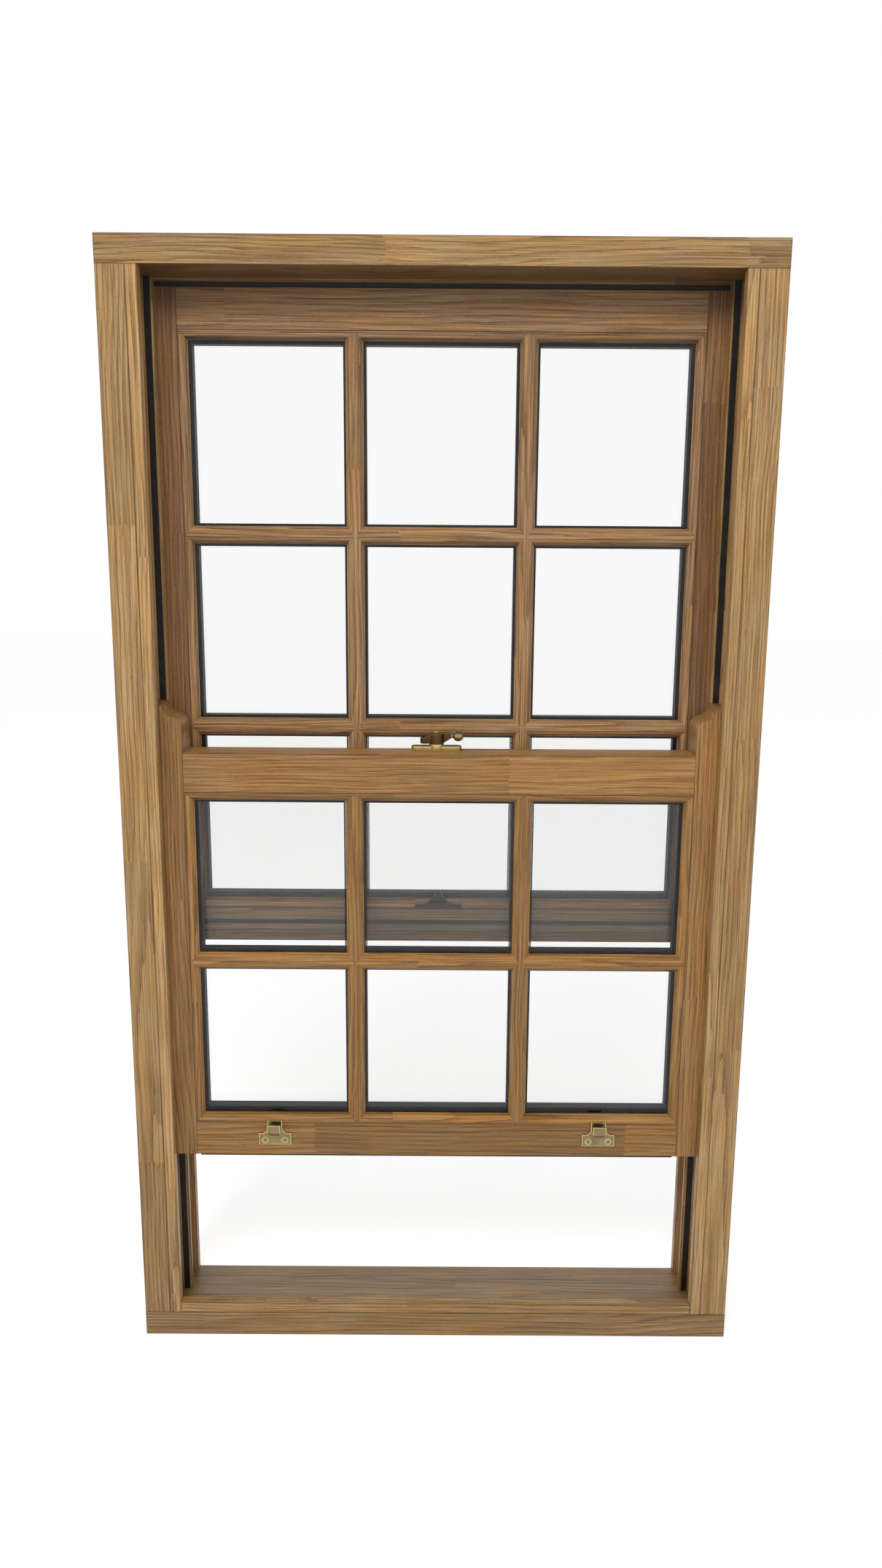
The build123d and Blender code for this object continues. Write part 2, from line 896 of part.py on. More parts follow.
# ------------------------------------------------------------------ hook lifts
for name, side in sides():
    centre = side * lift_x
    plate_face = lower_front - lift_plate
    neck_half = lift_neck_width / 2
    plate_half = lift_width / 2
    shoulder = plate_half - neck_half
    reach = lift_hook_reach
    bend = reach - lift_plate
    low = lift_z + lift_hook_start
    lip_top = low + reach + lift_hook_rise
    with BuildPart() as hook:
        with BuildSketch(Plane.YZ.offset(centre - lift_hook_width / 2)):
            with BuildLine():
                Line((plate_face, low), (plate_face, low + lift_plate))
                RadiusArc((plate_face, low + lift_plate), (plate_face - bend, low + reach), bend)
                Polyline(
                    (plate_face - bend, low + reach),
                    (plate_face - bend, lip_top),
                    (plate_face - reach, lip_top),
                    (plate_face - reach, low + reach),
                )
                RadiusArc((plate_face - reach, low + reach), (plate_face, low), -reach)
            make_face()
        extrude(amount=lift_hook_width)
        with BuildSketch(Plane.XZ.offset(-lower_front)):
            with Locations((centre, low + lift_hook_width / 2)):
                Circle(lift_hook_width / 2)
            with Locations((centre, low + lift_hook_width)):
                Rectangle(lift_hook_width, lift_hook_width)
        extrude(amount=lift_plate + 2 * reach, mode=Mode.INTERSECT)
    with BuildPart() as lift:
        with BuildSketch(Plane((centre, lower_front, lift_z), x_dir=(1, 0, 0), z_dir=(0, -1, 0))):
            with BuildLine():
                Polyline(
                    (-neck_half, lift_plate_height + lift_neck_height),
                    (neck_half, lift_plate_height + lift_neck_height),
                    (neck_half, lift_plate_height + shoulder * 0.6),
                )
                ThreePointArc(
                    (neck_half, lift_plate_height + shoulder * 0.6),
                    (neck_half + shoulder * 0.25, lift_plate_height + shoulder * 0.15),
                    (neck_half + shoulder * 0.7, lift_plate_height),
                )
                Polyline(
                    (neck_half + shoulder * 0.7, lift_plate_height),
                    (plate_half, lift_plate_height),
                    (plate_half, 0),
                    (0, 0),
                )
                mirror(about=Plane.YZ)
            make_face()
        extrude(amount=lift_plate)
        add(hook.part)
        drill(lift_screw_places, lift_screw)
    keep(lift.part, f"sash_lift_{name}")

drive(lift_screw_places, lift_screw, "lift_screws")

# ------------------------------------------------------------------ fastener
plate_top = lower_top + fastener_plate
lever_bottom = plate_top + hub_height + lever_clearance
with BuildPart() as fastener_base:
    with BuildSketch(Plane.XY.offset(lower_top)):
        with Locations((fastener_x, pivot_y)):
            SlotOverall(fastener_length, fastener_depth)
    extrude(amount=fastener_plate)
    fillet(fastener_base.faces().sort_by(Axis.Z)[-1].edges(), fastener_plate_round)
    with BuildSketch(Plane.XY.offset(lower_top)):
        with Locations((fastener_x, pivot_y)):
            Circle(hub_diameter / 2)
    extrude(amount=fastener_plate + hub_height)
    with Locations((fastener_x, pivot_y, lower_top)):
        Hole(pivot_diameter / 2, 60)
    drill(fastener_screw_places, fastener_screw)
keep(fastener_base.part, "fastener_base")

with BuildPart() as pivot:
    with BuildSketch(Plane.XY.offset(lower_top)):
        with Locations((fastener_x, pivot_y)):
            Circle(pivot_diameter / 2)
    extrude(amount=knob_height + lever_crown + lever_clearance)
    with BuildSketch(pivot.faces().sort_by(Axis.Z)[-1]):
        Circle(rivet_diameter / 2)
    extrude(amount=rivet_height)
    fillet(pivot.edges().sort_by(Axis.Z)[-1], rivet_height * 0.6)
keep(pivot.part, "fastener_pivot")

knob_z = lower_top + knob_height
arm_end = fastener_x + lever_reach
nose_tip = fastener_x - nose_reach
nose_top = lever_bottom + lever_thickness
crown = knob_z + lever_crown
with BuildPart() as lever:
    with BuildSketch(Plane.XY.offset(lever_bottom)):
        with Locations((fastener_x, pivot_y)):
            Circle(hub_diameter / 2)
        with Locations((nose_tip + nose_width / 2, pivot_y)):
            Circle(nose_width / 2)
        with Locations(((nose_tip + nose_width / 2 + fastener_x) / 2, pivot_y)):
            Rectangle(nose_reach - nose_width / 2, nose_width)
        with Locations((fastener_x + lever_reach / 2, pivot_y)):
            Rectangle(lever_reach, lever_tip_width)
    extrude(amount=crown - lever_bottom)
    with BuildSketch(Plane.XZ.offset(-pivot_y - hub_diameter)):
        with BuildLine():
            Polyline(
                (fastener_x + nose_lip, nose_top),
                (nose_tip, nose_top),
                (nose_tip, lever_bottom),
                (fastener_x + hub_diameter * 0.4, lever_bottom),
                (arm_end, knob_z - knob_neck / 2),
                (arm_end, knob_z + knob_neck / 2),
                (arm_end - lever_crown, crown),
                (fastener_x + hub_diameter * 0.3, crown),
            )
            RadiusArc(
                (fastener_x + hub_diameter * 0.3, crown),
                (fastener_x + nose_lip, nose_top),
                -2 * nose_reach,
            )
        make_face()
    extrude(amount=2 * hub_diameter, mode=Mode.INTERSECT)
    with Locations((fastener_x, pivot_y, lower_top)):
        Hole(pivot_diameter / 2 + pivot_clearance, 60)
keep(lever.part, "fastener_lever")

with BuildPart() as knob:
    with Locations(Location((arm_end, pivot_y, knob_z), (0, 90, 0))):
        Cylinder(
            knob_neck / 2,
            knob_stand + knob_diameter / 2,
            align=(Align.CENTER, Align.CENTER, Align.MIN),
        )
    with Locations((arm_end + knob_stand + knob_diameter / 2, pivot_y, knob_z)):
        Sphere(knob_diameter / 2)
keep(knob.part, "fastener_knob")

drive(fastener_screw_places, fastener_screw, "fastener_screws")

# ------------------------------------------------------------------ keeper
with BuildPart() as keeper:
    slab(
        (-keeper_length / 2, keeper_length / 2),
        keeper_y,
        (meeting_top, meeting_top + keeper_plate),
    )
    fillet(keeper.edges().filter_by(Axis.Z), 3)
    with BuildSketch(Plane.XZ.offset(-keeper_y[0])):
        with BuildLine():
            foot = keeper_length * 0.34
            base_z = meeting_top + keeper_plate
            neck_z = meeting_top + keeper_height - keeper_boss / 2
            Line((0, base_z), (foot, base_z))
            RadiusArc((foot, base_z), (keeper_boss / 2, neck_z), keeper_height * 1.1)
            RadiusArc((keeper_boss / 2, neck_z), (0, neck_z + keeper_boss / 2), -keeper_boss / 2)
            mirror(about=Plane.YZ)
        make_face()
    extrude(amount=-keeper_body_depth)
    slot_z = meeting_top + keeper_slot_above
    slab(
        (-keeper_length / 2, keeper_boss),
        (keeper_y[0], keeper_y[0] + keeper_slot_depth),
        (slot_z, slot_z + keeper_slot_height),
        Mode.SUBTRACT,
    )
    drill(keeper_screw_places, keeper_screw)
keep(keeper.part, "fastener_keeper")

drive(keeper_screw_places, keeper_screw, "keeper_screws")
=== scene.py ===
"""The oak sliding sash window: its finishes, its seven brass castings, and the studio round it."""
import math

import bmesh
import bpy
from mathutils import Matrix, Vector

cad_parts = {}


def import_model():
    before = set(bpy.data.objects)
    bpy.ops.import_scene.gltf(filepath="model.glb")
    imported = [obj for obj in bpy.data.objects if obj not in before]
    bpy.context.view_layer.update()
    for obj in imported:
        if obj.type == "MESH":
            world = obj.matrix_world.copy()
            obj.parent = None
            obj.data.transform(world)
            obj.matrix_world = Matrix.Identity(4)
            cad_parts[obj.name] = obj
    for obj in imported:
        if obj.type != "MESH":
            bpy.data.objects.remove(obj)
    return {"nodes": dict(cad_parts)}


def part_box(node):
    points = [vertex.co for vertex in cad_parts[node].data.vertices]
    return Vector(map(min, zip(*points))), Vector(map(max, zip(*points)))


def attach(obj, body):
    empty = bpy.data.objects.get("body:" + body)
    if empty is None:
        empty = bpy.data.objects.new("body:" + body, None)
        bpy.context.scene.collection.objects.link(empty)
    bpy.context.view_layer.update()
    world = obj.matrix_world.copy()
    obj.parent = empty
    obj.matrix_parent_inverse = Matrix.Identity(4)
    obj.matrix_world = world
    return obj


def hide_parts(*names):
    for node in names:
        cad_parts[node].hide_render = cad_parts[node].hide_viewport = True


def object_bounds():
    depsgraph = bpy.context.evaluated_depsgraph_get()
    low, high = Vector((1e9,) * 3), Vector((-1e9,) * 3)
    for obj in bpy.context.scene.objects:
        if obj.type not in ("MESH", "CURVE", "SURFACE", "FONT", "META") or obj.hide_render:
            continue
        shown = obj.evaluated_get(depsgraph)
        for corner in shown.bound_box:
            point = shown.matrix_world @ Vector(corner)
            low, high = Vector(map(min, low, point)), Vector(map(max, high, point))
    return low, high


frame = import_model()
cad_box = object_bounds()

MM = 0.001
WHITE = (1.0, 1.0, 1.0, 1.0)
nodes = frame["nodes"]


# ---------------------------------------------------------------- shader kit
# Outputs that are asked for by number
OBJECT_PLACE = 3
POINTINESS = 7
RANDOM_COLOUR = 1
MIXED_COLOUR = 2


class Value:
    """A shader socket. Arithmetic on values adds Math nodes to the finish that owns them."""

    def __init__(self, finish, socket):
        self.finish = finish
        self.socket = socket

    def _math(self, operation, *terms):
        return self.finish.node("ShaderNodeMath", {"operation": operation}, dict(enumerate(terms)))

    def __add__(self, other):
        return self._math("ADD", self, other)

    def __radd__(self, other):
        return self._math("ADD", other, self)

    def __sub__(self, other):
        return self._math("SUBTRACT", self, other)

    def __rsub__(self, other):
        return self._math("SUBTRACT", other, self)

    def __mul__(self, other):
        return self._math("MULTIPLY", self, other)

    def __rmul__(self, other):
        return self._math("MULTIPLY", other, self)

    def __truediv__(self, other):
        return self._math("DIVIDE", self, other)

    def __pow__(self, other):
        return self._math("POWER", self, other)

    def __abs__(self):
        return self._math("ABSOLUTE", self)

    def __lt__(self, other):
        return self._math("LESS_THAN", self, other)

    def floor(self):
        return self._math("FLOOR", self)

    def fraction(self):
        return self._math("FRACT", self)

    def root(self):
        return self._math("SQRT", self)

    def lower_of(self, other):
        return self._math("MINIMUM", self, other)

    def higher_of(self, other):
        return self._math("MAXIMUM", self, other)

    def output(self, index):
        """Another output of the same node."""
        return Value(self.finish, self.socket.node.outputs[index])

    def between(self, low, high, start=0.0, end=1.0):
        """start up to low, end from high on, and a smooth step from one to the other."""
        settings = {"interpolation_type": "SMOOTHSTEP"}
        sockets = {0: self, 1: low, 2: high, 3: start, 4: end}
        return self.finish.node("ShaderNodeMapRange", settings, sockets)


class Finish:
    """One procedural material, made node by node."""

    def __init__(self, name):
        self.material = bpy.data.materials.new(name)
        self.material.use_nodes = True
        self.tree = self.material.node_tree
        self.tree.nodes.clear()

    def node(self, kind, settings=None, sockets=None):
        """Any node: its settings are set first, then the values or links of its sockets."""
        made = self.tree.nodes.new(kind)
        for name, value in (settings or {}).items():
            setattr(made, name, value)
        for key, value in (sockets or {}).items():
            if isinstance(value, Value):
                self.tree.links.new(value.socket, made.inputs[key])
            else:
                made.inputs[key].default_value = value
        return Value(self, made.outputs[0]) if made.outputs else None

    def place(self):
        """X, Y and Z in millimetres, on the object itself."""
        point = self.node("ShaderNodeTexCoord").output(OBJECT_PLACE)
        sockets = {0: point, "Scale": 1 / MM}
        scaled = self.node("ShaderNodeVectorMath", {"operation": "SCALE"}, sockets)
        split = self.node("ShaderNodeSeparateXYZ", sockets={0: scaled})
        return split, split.output(1), split.output(2)

    def vector(self, x, y, z):
        return self.node("ShaderNodeCombineXYZ", sockets={0: x, 1: y, 2: z})

    def noise(self, vector, detail=2.0, roughness=0.5):
        """Noise with features about one unit across."""
        sockets = {"Vector": vector, "Scale": 1.0, "Detail": detail, "Roughness": roughness}
        return self.node("ShaderNodeTexNoise", sockets=sockets)

    def mix(self, share, first, second, blend="MIX"):
        """Two colours mixed. They go into the node's sockets 6 and 7."""
        settings = {"data_type": "RGBA", "blend_type": blend}
        mixed = self.node("ShaderNodeMix", settings, {0: share, 6: first, 7: second})
        return mixed.output(MIXED_COLOUR)

    def bump(self, height, strength, depth_mm):
        """A normal for relief that is depth_mm deep where height goes from 0 to 1."""
        sockets = {"Strength": strength, "Distance": depth_mm * MM, "Height": height}
        return self.node("ShaderNodeBump", sockets=sockets)

    def surface(self, **sockets):
        """A Principled surface as the material's only shader."""
        names = {key.replace("_", " "): value for key, value in sockets.items()}
        self.close(self.node("ShaderNodeBsdfPrincipled", sockets=names))
        return self.material

    def close(self, shader):
        """Ends the material with this shader."""
        self.node("ShaderNodeOutputMaterial", sockets={0: shader})


def colour(red, green, blue):
    """An 8-bit screen colour as linear values."""
    def linear(level):
        share = level / 255
        return share / 12.92 if share <= 0.04045 else ((share + 0.055) / 1.055) ** 2.4
    return (linear(red), linear(green), linear(blue), 1.0)


# ---------------------------------------------------------------- oak
FRAME_OAK = ((190, 155, 108), (104, 72, 38))
SASH_OAK = ((189, 144, 88), (98, 63, 30))
# The upper sash's oak, a little darker than the lower sash's: painted shade under the head, besides
# its own tone
SHADED_UPPER_OAK = ((179, 142, 103), (88, 60, 36))
# A darker copy of the upper oak for the upper stiles: painted shade from the jambs beside them
SHADED_UPPER_STILE_OAK = ((152, 113, 76), (78, 50, 28))
HONEY_CAST = (1.0, 0.95, 0.83)
PORE_BROWN = (74, 50, 32)
FLECK_CREAM = (226, 196, 156)

# In millimetres
BOARD_LENGTH = 470.0
PLY = 19.0
PLY_STAGGER = 137.0
JOINT_RAGGEDNESS = 10.0
PIECE_SHIFT = 91.7
HEART_SPREAD = 210.0
HEART_DRIFT = 34.0
HEART_NEAREST = 16.0
HEART_DEPTHS = 60.0
RING_RIPPLE = 3.0
RING_NARROWEST = 4.2
RING_WIDTHS = 3.0
# How far in from an edge the painted shade of the joints fades out
JOINT_SHADE_MM = (0.3, 1.7)
# How far a heart sinks for each millimetre along the board
HEART_LEAN = 0.07
SEED_STEP = 1.618


def oak(node, run, tones, shade, seed):
    """Varnished, finger-jointed oak: rings, pores and boards that follow the length of the piece.

    run is "up", "across" or "mitred", which is four lengths mitred round a rectangle. shade is
    painted light and shade on the whole piece, besides its own tone, against the others of its
    kind.
    """
    finish = Finish("oak_" + node)
    low, high = (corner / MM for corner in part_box(node))
    middle = (low + high) / 2
    x, y, z = finish.place()
    x = x - middle.x
    y = y - middle.y
    z = z - middle.z
    to_end = (high.z - low.z) / 2 - abs(z)
    to_side = (high.x - low.x) / 2 - abs(x)
    to_face = (high.y - low.y) / 2 - abs(y)
    if run == "up":
        along, over = z, x
    elif run == "across":
        along, over = x, z
    else:
        upright = to_side < to_end
        along = upright * z + (1 - upright) * x
        over = upright * x + (1 - upright) * z
    along = along + seed * PIECE_SHIFT

    # Boards: a new one at every finger joint, staggered from one ply to the next
    ply = (y / PLY + seed * 0.37).floor()
    joint_edge = finish.noise(finish.vector(over / 9, y / 9, seed), detail=0.0) * JOINT_RAGGEDNESS
    board = ((along + ply * PLY_STAGGER + joint_edge) / BOARD_LENGTH).floor()
    dice = finish.node("ShaderNodeTexWhiteNoise", sockets={0: finish.vector(board, ply, seed)})
    roll = finish.node("ShaderNodeSeparateColor", sockets={0: dice.output(RANDOM_COLOUR)})
    tone_roll, heart_roll, spacing_roll = roll, roll.output(1), roll.output(2)

    # Rings round a heart that wanders as it goes along the board
    drift = finish.noise(finish.vector(along / 330, over / 120, heart_roll * 40 + seed), detail=1.0)
    ripple = finish.noise(finish.vector(along / 75, over / 9, y / 9 + heart_roll * 20), detail=2.0)
    heart_over = (tone_roll - 0.5) * HEART_SPREAD + (drift - 0.5) * HEART_DRIFT
    heart_deep = HEART_NEAREST + heart_roll * HEART_DEPTHS + along * (heart_roll - 0.5) * HEART_LEAN
    across = over - heart_over
    deep = y + heart_deep
    radius = (across * across + deep * deep).root() + (ripple - 0.5) * RING_RIPPLE
    ring = (radius / (RING_NARROWEST + spacing_roll * RING_WIDTHS)).fraction()
    line = finish.vector(along / 85, over / 3.0, board + y / 9)
    line = finish.noise(line, detail=3.0, roughness=0.6)
    early = (1 - ring) ** 2.2 * line.between(0.30, 0.62, 0.25, 1.0)
    band = finish.noise(finish.vector(along / 300, over / 10, board), detail=3.0)
    early = early * band.between(0.30, 0.70, 0.55, 1.0)

    # Fibre, pores and medullary flecks, all drawn out along the board
    fibre = finish.vector(along / 95, over * 0.85, y * 0.85)
    fibre = finish.noise(fibre, detail=3.0, roughness=0.6)
    strand = finish.noise(finish.vector(along / 190, over / 2.0, y / 2.0), detail=2.0)
    pore = finish.noise(finish.vector(along / 7.5, over * 2.1, y * 2.1 + seed), detail=1.0)
    pore = pore.between(0.56, 0.70) * early.between(0.05, 0.6, 0.25, 1.0)
    fleck = finish.noise(finish.vector(along / 5, over / 1.1, y / 2.6 - seed), detail=1.0)
    fleck = fleck.between(0.66, 0.74) * (1 - early)
    cloud = finish.noise(finish.vector(along / 120, over / 30, y / 30 + seed), detail=3.0)

    pale, dark = (colour(*tone) for tone in tones)
    honey = colour(*(min(255, level * share) for level, share in zip(tones[0], HONEY_CAST)))
    wood = finish.mix(cloud.between(0.35, 0.65), pale, honey)
    wood = finish.mix(early, wood, dark)
    wood = finish.mix(strand.between(0.46, 0.62, 0.0, 0.46), wood, dark)
    wood = finish.mix(fibre.between(0.44, 0.62, 0.0, 0.46), wood, dark)
    wood = finish.mix(pore * 0.62, wood, colour(*PORE_BROWN))
    wood = finish.mix(fleck * 0.22, wood, colour(*FLECK_CREAM))
    # Painted shade in the joints, for the shade that falls between parts: darkest where two faces
    # of the piece meet
    arris = to_end.lower_of(to_side).higher_of(to_end.higher_of(to_side).lower_of(to_face))
    lightness = tone_roll.between(0.0, 1.0, 0.88, 1.10) * arris.between(*JOINT_SHADE_MM, 0.50, 1.0)
    # shade: painted light and shade on the whole piece, besides its own tone
    lightness = lightness * shade
    channels = {0: lightness, 1: lightness, 2: lightness * 0.99}
    cast = finish.node("ShaderNodeCombineColor", sockets=channels)
    wood = finish.mix(1.0, wood, cast, "MULTIPLY")

    height = 1 - early * 0.45 - pore * 0.9 - fibre * 0.35
    return finish.surface(
        Base_Color=wood,
        Roughness=0.50 + pore * 0.16 - cloud * 0.10,
        Specular_IOR_Level=0.35,
        Coat_Weight=0.06,
        Coat_Roughness=0.30,
        Normal=finish.bump(height, 0.35, 0.25),
    )


# ---------------------------------------------------------------- other finishes
def antique_brass(name, hollow, metal, worn_and_highlit, wear, roughness):
    """Lacquered brass: dark in the hollows, worn bright on the edges with a painted highlight
    there, a little clouded between.

    wear is how far the bright metal has spread in from the edges, from 0 to 1.
    """
    finish = Finish(name)
    x, y, z = finish.place()
    edge = finish.node("ShaderNodeNewGeometry").output(POINTINESS)
    scuff = finish.noise(finish.vector(x / 1.6, y / 1.6, z / 1.6), detail=4.0, roughness=0.6)
    cloud = finish.noise(finish.vector(x / 14, y / 14, z / 14), detail=2.0)
    hair = finish.noise(finish.vector(x / 6, y * 3.0, z * 3.0), detail=2.0)
    # Painted highlight along the edges, partly real rubbing: the edge colour goes where the casting
    # is most convex
    bright = (edge + (scuff - 0.5) * 0.02).between(0.502, 0.524)
    sunk = edge.between(0.492, 0.462)
    tone = finish.mix(cloud.between(0.3, 0.7, 0.0, 0.35), colour(*metal), colour(*hollow))
    tone = finish.mix(scuff.between(0.5, 0.8, 0.0, 0.3), tone, colour(*hollow))
    tone = finish.mix(wear, tone, colour(*worn_and_highlit))
    tone = finish.mix(sunk * 0.8, tone, colour(*hollow))
    tone = finish.mix(bright * 0.9, tone, colour(*worn_and_highlit))
    return finish.surface(
        Base_Color=tone,
        Metallic=0.95,
        Roughness=roughness + scuff * 0.10 - bright * 0.10,
        Normal=finish.bump(scuff + hair * 0.5, 0.10, 0.08),
    )


def clear_glass():
    """Float glass: clear through, with reflections that grow towards the edge of view."""
    finish = Finish("clear_glass")
    x, y, z = finish.place()
    haze = finish.noise(finish.vector(x / 140, y, z / 140), detail=2.0)
    gloss = finish.node("ShaderNodeFresnel", sockets={"IOR": 1.45})
    through = finish.node("ShaderNodeBsdfTransparent", sockets={0: (0.984, 0.985, 0.983, 1.0)})
    shine = finish.node("ShaderNodeBsdfGlossy", sockets={0: WHITE, "Roughness": 0.03})
    share = gloss * haze.between(0.3, 0.7, 0.40, 0.52)
    finish.close(finish.node("ShaderNodeMixShader", sockets={0: share, 1: through, 2: shine}))
    return finish.material


def spacer_black():
    """Warm-edge spacer: soft black, clouded a little greyer along its length."""
    finish = Finish("spacer_black")
    x, y, z = finish.place()
    grit = finish.noise(finish.vector(x * 1.4, y * 1.4, z * 1.4), detail=3.0)
    drift = finish.noise(finish.vector(x / 60, y / 3, z / 60), detail=2.0)
    tone = finish.mix(drift.between(0.35, 0.65), colour(12, 13, 12), colour(24, 25, 24))
    tone = finish.mix(grit.between(0.5, 0.75, 0.0, 0.15), tone, colour(44, 46, 44))
    return finish.surface(
        Base_Color=tone, Roughness=0.62 + grit * 0.1, Normal=finish.bump(grit, 0.06, 0.1)
    )


def seal_rubber():
    """Extruded black seal, with fine lines along it and a dusty bloom."""
    finish = Finish("seal_rubber")
    x, y, z = finish.place()
    line = finish.noise(finish.vector(x / 30, y * 2.4, z / 30), detail=2.0)
    bloom = finish.noise(finish.vector(x / 14, y / 5, z / 14), detail=3.0)
    tone = finish.mix(bloom.between(0.45, 0.75, 0.0, 0.7), colour(18, 17, 16), colour(40, 38, 35))
    return finish.surface(
        Base_Color=tone, Roughness=0.55 + bloom * 0.2, Normal=finish.bump(line, 0.3, 0.15)
    )


def brush_pile():
    """Black siliconised pile: upright tufts in close rows."""
    finish = Finish("brush_pile")
    x, y, z = finish.place()
    tuft = finish.noise(finish.vector(x * 2.2, y / 4, z * 1.6), detail=2.0)
    tone = finish.mix(tuft.between(0.35, 0.65), colour(14, 13, 12), colour(58, 54, 50))
    return finish.surface(Base_Color=tone, Roughness=0.85, Normal=finish.bump(tuft, 0.6, 0.4))


def drawn_metal(name, light, dark, mark_mm):
    """Drawn or plated metal, with marks mark_mm long down its length and a few dull spots."""
    finish = Finish(name)
    x, y, z = finish.place()
    mark = finish.noise(finish.vector(x * 3, y * 3, z / mark_mm), detail=3.0)
    spot = finish.noise(finish.vector(x / 5, y / 5, z / 12), detail=4.0, roughness=0.6)
    tone = finish.mix(mark.between(0.3, 0.7), colour(*dark), colour(*light))
    tone = finish.mix(spot.between(0.58, 0.72, 0.0, 0.4), tone, colour(116, 116, 114))
    return finish.surface(
        Base_Color=tone,
        Metallic=0.9,
        Roughness=0.32 + spot * 0.25,
        Normal=finish.bump(mark, 0.15, 0.08),
    )


# ---------------------------------------------------------------- finishes on the frame's own nodes
def dress(node, material):
    """Gives the frame's own node this material alone."""
    mesh = nodes[node].data
    mesh.materials.clear()
    mesh.materials.append(material)


# Each piece: its run, its oak, and its shade, which is painted light and shade: darker low down and
# under the head, and darkest for the meeting rail, in the lower sash's shadow
OAK_NODES = {
    "head": ("across", FRAME_OAK, 0.83), "sill": ("across", FRAME_OAK, 0.72),
    "jamb_left": ("up", FRAME_OAK, 1.0), "jamb_right": ("up", FRAME_OAK, 1.12),
    "staff_bead_left": ("up", FRAME_OAK, 1.20), "staff_bead_right": ("up", FRAME_OAK, 1.15),
    "staff_bead_bottom": ("across", FRAME_OAK, 1.04),
    "parting_bead_left": ("up", FRAME_OAK, 1.0), "parting_bead_right": ("up", FRAME_OAK, 1.0),
    "outer_lining_left": ("up", FRAME_OAK, 1.0), "outer_lining_right": ("up", FRAME_OAK, 1.0),
    "outer_lining_head": ("across", FRAME_OAK, 0.95),
    "lower_stile_left": ("up", SASH_OAK, 0.80), "lower_stile_right": ("up", SASH_OAK, 0.84),
    "lower_top_rail": ("across", SASH_OAK, 1.0), "lower_bottom_rail": ("across", SASH_OAK, 0.78),
    "upper_stile_left": ("up", SHADED_UPPER_STILE_OAK, 0.92),
    "upper_stile_right": ("up", SHADED_UPPER_STILE_OAK, 0.94),
    "upper_top_rail": ("across", SHADED_UPPER_OAK, 0.97), "meeting_rail": ("across", FRAME_OAK, 0.60),
}
for sash, tones in (("lower", SASH_OAK), ("upper", SHADED_UPPER_OAK)):
    for face in ("inner", "outer"):
        OAK_NODES[f"{sash}_{face}_beads"] = ("mitred", tones, 0.95)
        OAK_NODES[f"{sash}_{face}_upright_bars"] = ("up", tones, 0.95)
        OAK_NODES[f"{sash}_{face}_cross_bars"] = ("across", tones, 0.97)

for seed, (node, (run, tones, shade)) in enumerate(OAK_NODES.items(), start=1):
    dress(node, oak(node, run, tones, shade, seed * SEED_STEP))

SHARED = {
    clear_glass(): [
        "lower_inner_glass", "lower_outer_glass", "upper_inner_glass", "upper_outer_glass"],
    spacer_black(): ["lower_spacer_grid", "upper_spacer_grid"],
    seal_rubber(): ["parting_bead_seals", "head_seal", "bottom_seal"],
    brush_pile(): ["meeting_rail_brush"],
    drawn_metal("mill_aluminium", (206, 207, 208), (176, 178, 180), 60): [
        "lower_balance_tubes", "upper_balance_tubes"],
    drawn_metal("balance_steel", (168, 170, 172), (132, 134, 138), 4): [
        "lower_balance_rods", "upper_balance_rods", "lower_balance_feet", "upper_balance_feet"],
    drawn_metal("zinc_screws", (190, 188, 176), (150, 148, 140), 2): [
        "frame_screws", "tube_screws"],
}
for material, names in SHARED.items():
    for name in names:
        dress(name, material)


# ---------------------------------------------------------------- brass castings
BRIGHT = (236, 214, 150)
LIFT_BRASS = antique_brass(
    "lift_brass", hollow=(50, 44, 30), metal=(132, 121, 86), worn_and_highlit=BRIGHT,
    wear=0.04, roughness=0.30)
SCREW_BRASS = antique_brass(
    "screw_brass", hollow=(34, 28, 18), metal=(122, 108, 74), worn_and_highlit=(150, 136, 96),
    wear=0.0, roughness=0.34)
BASE_BRASS = antique_brass(
    "polished_brass", hollow=(96, 78, 42), metal=(214, 190, 122), worn_and_highlit=BRIGHT,
    wear=0.45, roughness=0.16)
LEVER_BRONZE = antique_brass(
    "lever_bronze", hollow=(44, 30, 18), metal=(98, 70, 42), worn_and_highlit=(150, 116, 74),
    wear=0.0, roughness=0.38)
KNOB_BRASS = antique_brass(
    "knob_brass", hollow=(70, 62, 42), metal=(150, 138, 104), worn_and_highlit=(222, 206, 160),
    wear=0.10, roughness=0.28)
KEEPER_BRONZE = antique_brass(
    "keeper_bronze", hollow=(16, 16, 14), metal=(46, 44, 37), worn_and_highlit=(92, 84, 62),
    wear=0.0, roughness=0.42)


def casting(name, node, body, metal, grain_mm=0.4, passes=2):
    """The node's shape as a fine, softened mesh, with the rounded arrises of a casting.

    grain_mm is the mesh's even spacing, and passes is how often it is smoothed.
    """
    mesh = nodes[node].data.copy()
    mesh.name = name
    piece = bpy.data.objects.new(name, mesh)
    bpy.context.scene.collection.objects.link(piece)
    remesh = piece.modifiers.new("even mesh", "REMESH")
    remesh.mode = "VOXEL"
    remesh.voxel_size = grain_mm * MM
    soften = piece.modifiers.new("soft arrises", "SMOOTH")
    soften.factor = 0.5
    soften.iterations = passes
    depsgraph = bpy.context.evaluated_depsgraph_get()
    cast = bpy.data.meshes.new_from_object(piece.evaluated_get(depsgraph))
    piece.modifiers.clear()
    piece.data = cast
    bpy.data.meshes.remove(mesh)
    cast.materials.clear()
    cast.materials.append(metal)
    for face in cast.polygons:
        face.use_smooth = True
    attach(piece, body)
    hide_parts(node)


